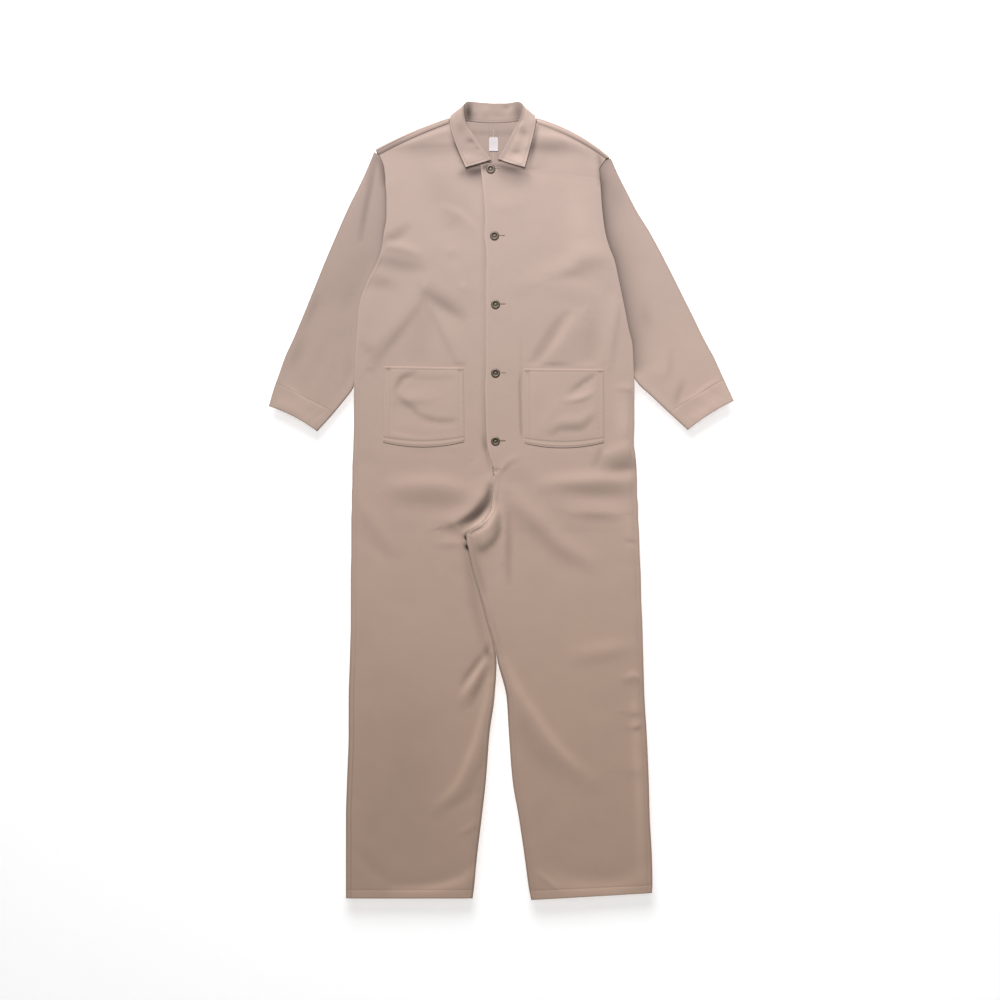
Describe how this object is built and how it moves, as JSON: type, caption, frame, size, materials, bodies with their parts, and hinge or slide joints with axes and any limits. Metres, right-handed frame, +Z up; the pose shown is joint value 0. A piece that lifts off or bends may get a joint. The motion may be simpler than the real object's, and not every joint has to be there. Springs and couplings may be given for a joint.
{
  "type": "boiler suit",
  "caption": "Long-sleeved boiler suit in beige cotton twill, buttoned up and laid flat, with a turned-down collar, patch pockets and straight legs.",
  "frame": {"origin": "on the surface the suit lies on, under the middle of its outline", "axes": "+Y from the hems to the collar, +X to the wearer's left, +Z up from the surface, so the fronts face up"},
  "size_m": [0.8746, 1.5017, 0.0162],
  "materials": {
    "twill": "matt beige cotton twill, slightly pink",
    "label_tape": "white woven tape, bare",
    "button_metal": "antiqued, dark and satin"
  },
  "bodies": {
    "root": {"front_left": "twill", "front_right": "twill", "back_left": "twill", "back_right": "twill", "sleeve_left": "twill", "sleeve_right": "twill", "collar": "twill", "pocket_left": "twill", "pocket_right": "twill", "label": "label_tape", "button_1": "button_metal", "button_2": "button_metal", "button_3": "button_metal", "button_4": "button_metal", "button_5": "button_metal"}
  },
  "joints": []
}
